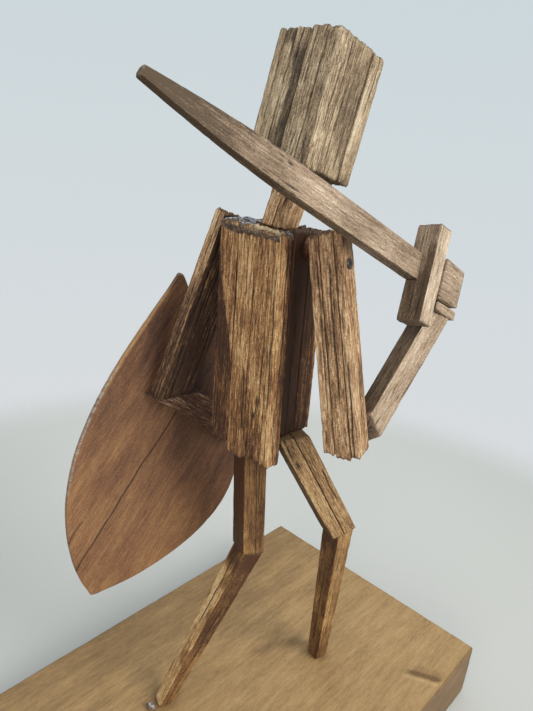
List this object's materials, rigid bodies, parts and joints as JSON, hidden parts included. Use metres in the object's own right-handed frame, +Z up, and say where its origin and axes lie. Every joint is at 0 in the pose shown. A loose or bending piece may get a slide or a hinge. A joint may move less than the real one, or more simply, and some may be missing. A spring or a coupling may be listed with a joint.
{
  "type": "wooden warrior figurine",
  "caption": "Free-standing stick-figure warrior glued from stained split wood, sword raised over the shoulder, leaf-shaped shield on the left arm, on a flat wooden board.",
  "frame": {"origin": "centre of the board's underside, on the surface the figure stands on", "axes": "+Z up; the warrior faces -Y, its own right hand is on the -X side; the board's long side runs along Y"},
  "size_m": [0.089, 0.14, 0.1984],
  "materials": {
    "dried_glue": "dried clear glue with wood dust, glossy",
    "steel": "dull dark brad head",
    "wood_board": "planed softwood board, light brown stain, satin",
    "wood_dark": "split stick, heavy dark stain, matt",
    "wood_mid": "split stick, walnut stain, matt with a waxed sheen",
    "wood_pale": "weathered split stick, thin walnut stain, matt",
    "wood_red": "thin shield wood, red-brown stain, satin"
  },
  "bodies": {
    "root": {"base_board": "wood_board", "forearm_left": "wood_mid", "forearm_right": "wood_pale", "glue_foot_left": "dried_glue", "glue_neck_left": "dried_glue", "glue_neck_right": "dried_glue", "hand_right": "wood_pale", "hand_thumb_strip": "wood_mid", "head_row1_1": "wood_pale", "head_row1_2": "wood_pale", "head_row1_3": "wood_pale", "head_row1_4": "wood_pale", "head_row1_5": "wood_pale", "head_row2_1": "wood_pale", "head_row2_2": "wood_pale", "head_row3_1": "wood_pale", "head_row3_2": "wood_pale", "head_row3_3": "wood_pale", "head_row3_4": "wood_pale", "neck_1": "wood_mid", "neck_2": "wood_mid", "shield": "wood_red", "shin_left": "wood_mid", "shin_right": "wood_mid", "shoulder_brad_head": "steel", "sword_blade": "wood_pale", "sword_guard": "wood_mid", "thigh_left": "wood_dark", "thigh_right_1": "wood_mid", "thigh_right_2": "wood_mid", "torso_back_1": "wood_mid", "torso_back_2": "wood_mid", "torso_back_3": "wood_mid", "torso_back_4": "wood_mid", "torso_front_1": "wood_dark", "torso_front_2": "wood_dark", "torso_front_3": "wood_dark", "torso_middle_1": "wood_dark", "torso_middle_2": "wood_dark", "upper_arm_left_1": "wood_dark", "upper_arm_left_2": "wood_dark", "upper_arm_left_3": "wood_dark", "upper_arm_right_1": "wood_pale", "upper_arm_right_2": "wood_pale", "upper_arm_right_3": "wood_pale"}
  },
  "joints": []
}
